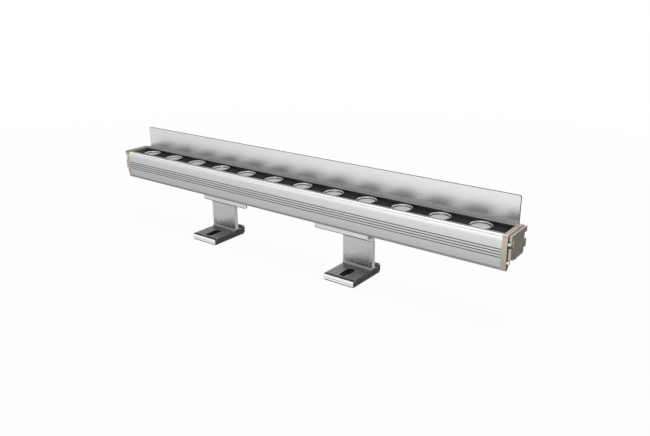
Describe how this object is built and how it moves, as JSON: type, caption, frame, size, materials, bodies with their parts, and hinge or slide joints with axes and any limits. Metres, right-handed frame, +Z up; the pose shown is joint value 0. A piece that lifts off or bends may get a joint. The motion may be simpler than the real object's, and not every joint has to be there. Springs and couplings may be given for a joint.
{
  "type": "linear wall washer light",
  "caption": "Outdoor linear wall washer: an anodised extrusion with a row of lenses, a rear glare shield, cast end caps and two feet that slide and tilt.",
  "frame": {"origin": "middle of the part's outline on the ground, midway between the end caps", "axes": "+X along the housing to its right end, +Y to the rear where the glare shield and the cable gland are, +Z up"},
  "size_m": [0.5, 0.066, 0.1022],
  "materials": {
    "anodised_housing": "silver anodised, satin",
    "shield_sheet": "silver anodised sheet, semi gloss",
    "clip_aluminium": "silver anodised, satin",
    "foot_aluminium": "silver anodised, satin",
    "cap_paint": "champagne grey powder coat, satin",
    "black_panel": "black, semi matt",
    "lens_clear": "clear moulded acrylic, polished",
    "holder_black": "black moulded nylon",
    "white_board": "white solder mask on an aluminium core",
    "phosphor": "yellow phosphor under a clear dome",
    "chip_black": "black moulding compound",
    "terminal_ivory": "ivory moulded nylon",
    "pad": "soft filled silicone",
    "resin": "black potting compound, glossy",
    "seal_rubber": "black silicone",
    "gland_black": "black moulded nylon",
    "stainless_screw": "stainless steel",
    "black_screw": "black oxide steel"
  },
  "bodies": {
    "housing": {"housing": "anodised_housing", "glare_shield": "shield_sheet", "shield_screws": "stainless_screw", "lens_panel": "black_panel", "lens_1": "lens_clear", "lens_2": "lens_clear", "lens_3": "lens_clear", "lens_4": "lens_clear", "lens_5": "lens_clear", "lens_6": "lens_clear", "lens_7": "lens_clear", "lens_8": "lens_clear", "lens_9": "lens_clear", "lens_10": "lens_clear", "lens_11": "lens_clear", "lens_12": "lens_clear", "lens_holder_1": "holder_black", "lens_holder_2": "holder_black", "lens_holder_3": "holder_black", "lens_holder_4": "holder_black", "lens_holder_5": "holder_black", "lens_holder_6": "holder_black", "lens_holder_7": "holder_black", "lens_holder_8": "holder_black", "lens_holder_9": "holder_black", "lens_holder_10": "holder_black", "lens_holder_11": "holder_black", "lens_holder_12": "holder_black", "led_board": "white_board", "led_packages": "phosphor", "current_regulators": "chip_black", "input_terminal": "terminal_ivory", "thermal_pad": "pad", "board_screws": "stainless_screw", "potting_resin": "resin", "end_cap_left": "cap_paint", "end_cap_right": "cap_paint", "end_gasket_left": "seal_rubber", "end_gasket_right": "seal_rubber", "cap_screws_left": "stainless_screw", "cap_screws_right": "stainless_screw", "gland_body": "gland_black", "gland_seal": "seal_rubber", "gland_cap": "gland_black"},
    "clip_left": {"rail_clip_left": "clip_aluminium", "clip_lock_screws_left": "black_screw", "tilt_lock_screws_left": "black_screw"},
    "clip_right": {"rail_clip_right": "clip_aluminium", "clip_lock_screws_right": "black_screw", "tilt_lock_screws_right": "black_screw"},
    "foot_left": {"foot_left": "foot_aluminium"},
    "foot_right": {"foot_right": "foot_aluminium"}
  },
  "joints": [
    {"name": "slide_left", "type": "slide", "parent": "housing", "child": "clip_left", "axis": [1, 0, 0], "range_m": [-0.118, 0.05]},
    {"name": "slide_right", "type": "slide", "parent": "housing", "child": "clip_right", "axis": [1, 0, 0], "range_m": [-0.04, 0.12]},
    {"name": "tilt_left", "type": "hinge", "parent": "clip_left", "child": "foot_left", "pos_m": [-0.0878, 0.0018, 0.0433], "axis": [1, 0, 0], "range_deg": [-22, 22]},
    {"name": "tilt_right", "type": "hinge", "parent": "clip_right", "child": "foot_right", "pos_m": [0.0729, 0.0018, 0.0433], "axis": [1, 0, 0], "range_deg": [-22, 22]}
  ]
}
